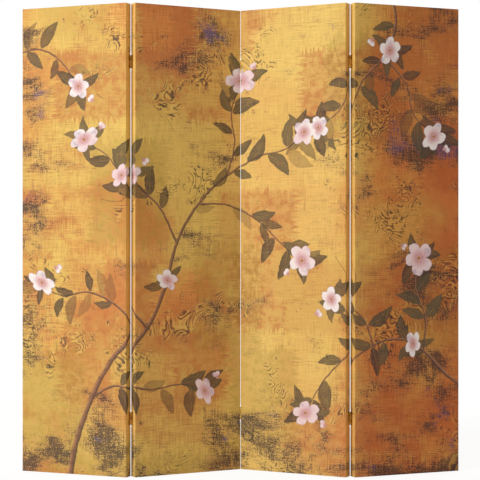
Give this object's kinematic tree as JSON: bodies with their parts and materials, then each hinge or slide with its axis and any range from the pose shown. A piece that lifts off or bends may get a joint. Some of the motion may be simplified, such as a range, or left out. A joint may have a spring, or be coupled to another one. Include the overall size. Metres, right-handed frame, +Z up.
{
  "type": "folding room divider",
  "caption": "Free-standing folding screen of tall stretched-canvas panels, hinged edge to edge to stand in a zigzag, lie flat as a wall or close to a stack.",
  "frame": {"origin": "centre of the standing screen's footprint, on the floor", "axes": "+X to the right along the screen as seen from its printed front, +Y from front to back, +Z up"},
  "size_m": [1.6978, 0.2446, 1.8],
  "materials": {
    "printed_canvas": "matte",
    "back_canvas": "matte",
    "pine": "matte",
    "brass": "satin"
  },
  "bodies": {
    "panel_2": {"panel_2_front_canvas": "printed_canvas", "panel_2_back_canvas": "back_canvas", "panel_2_left_stile": "pine", "panel_2_right_stile": "pine", "panel_2_bottom_rail": "pine", "panel_2_top_rail": "pine", "panel_2_lower_cross_rail": "pine", "panel_2_upper_cross_rail": "pine", "fold_1_lower_hinge_right_leaf": "brass", "fold_1_lower_hinge_pin": "brass", "fold_1_upper_hinge_right_leaf": "brass", "fold_1_upper_hinge_pin": "brass", "fold_2_lower_hinge_left_leaf": "brass", "fold_2_lower_hinge_pin": "brass", "fold_2_upper_hinge_left_leaf": "brass", "fold_2_upper_hinge_pin": "brass"},
    "panel_1": {"panel_1_front_canvas": "printed_canvas", "panel_1_back_canvas": "back_canvas", "panel_1_left_stile": "pine", "panel_1_right_stile": "pine", "panel_1_bottom_rail": "pine", "panel_1_top_rail": "pine", "panel_1_lower_cross_rail": "pine", "panel_1_upper_cross_rail": "pine", "fold_1_lower_hinge_left_leaf": "brass", "fold_1_upper_hinge_left_leaf": "brass"},
    "panel_3": {"panel_3_front_canvas": "printed_canvas", "panel_3_back_canvas": "back_canvas", "panel_3_left_stile": "pine", "panel_3_right_stile": "pine", "panel_3_bottom_rail": "pine", "panel_3_top_rail": "pine", "panel_3_lower_cross_rail": "pine", "panel_3_upper_cross_rail": "pine", "fold_2_lower_hinge_right_leaf": "brass", "fold_2_upper_hinge_right_leaf": "brass", "fold_3_lower_hinge_left_leaf": "brass", "fold_3_lower_hinge_pin": "brass", "fold_3_upper_hinge_left_leaf": "brass", "fold_3_upper_hinge_pin": "brass"},
    "panel_4": {"panel_4_front_canvas": "printed_canvas", "panel_4_back_canvas": "back_canvas", "panel_4_left_stile": "pine", "panel_4_right_stile": "pine", "panel_4_bottom_rail": "pine", "panel_4_top_rail": "pine", "panel_4_lower_cross_rail": "pine", "panel_4_upper_cross_rail": "pine", "fold_3_lower_hinge_right_leaf": "brass", "fold_3_upper_hinge_right_leaf": "brass"}
  },
  "joints": [
    {"name": "fold_1", "type": "hinge", "parent": "panel_2", "child": "panel_1", "pos_m": [-0.41787, -0.08718, 0.9], "axis": [0, 0, -1], "range_deg": [-50.5, 129.5]},
    {"name": "fold_2", "type": "hinge", "parent": "panel_2", "child": "panel_3", "pos_m": [0, 0.0897, 0.9], "axis": [0, 0, -1], "range_deg": [-56, 124]},
    {"name": "fold_3", "type": "hinge", "parent": "panel_3", "child": "panel_4", "pos_m": [0.41787, -0.08718, 0.9], "axis": [0, 0, 1], "range_deg": [-50.5, 129.5]}
  ]
}
